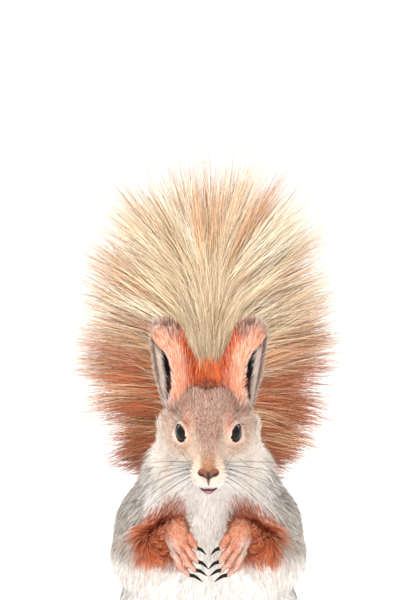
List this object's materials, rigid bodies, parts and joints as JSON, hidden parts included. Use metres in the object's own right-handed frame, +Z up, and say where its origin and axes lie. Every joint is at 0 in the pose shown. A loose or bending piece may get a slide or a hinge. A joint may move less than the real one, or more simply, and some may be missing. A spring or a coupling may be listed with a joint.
{
  "type": "red squirrel figure",
  "caption": "Life-size red squirrel sitting upright with its forepaws held together under its chin and its bushy tail fanned out behind its head.",
  "frame": {"origin": "middle of the base of the bounding box, on the floor that the animal sits on", "axes": "+Z up, the animal faces -Y and its own left side is +X"},
  "size_m": [0.13, 0.1428, 0.2652],
  "materials": {
    "body_coat": "soft winter fur, grey on the flanks and white below",
    "face_coat": "short speckled fur",
    "rufous_coat": "rust red fur",
    "tail_coat": "long buff hair with rust tips",
    "paw": "thinly haired skin, with dark horn claws",
    "eye": "wet, near black"
  },
  "bodies": {
    "root": {"torso": "body_coat", "neck": "body_coat", "head": "face_coat", "eye_left": "eye", "eye_right": "eye", "ear_left": "rufous_coat", "ear_right": "rufous_coat", "upper_arm_left": "body_coat", "upper_arm_right": "body_coat", "forearm_left": "rufous_coat", "forearm_right": "rufous_coat", "forepaw_left": "paw", "forepaw_right": "paw", "haunch_left": "body_coat", "haunch_right": "body_coat", "hind_foot_left": "paw", "hind_foot_right": "paw", "tail_base": "rufous_coat", "tail_middle": "tail_coat", "tail_fan": "tail_coat"}
  },
  "joints": []
}
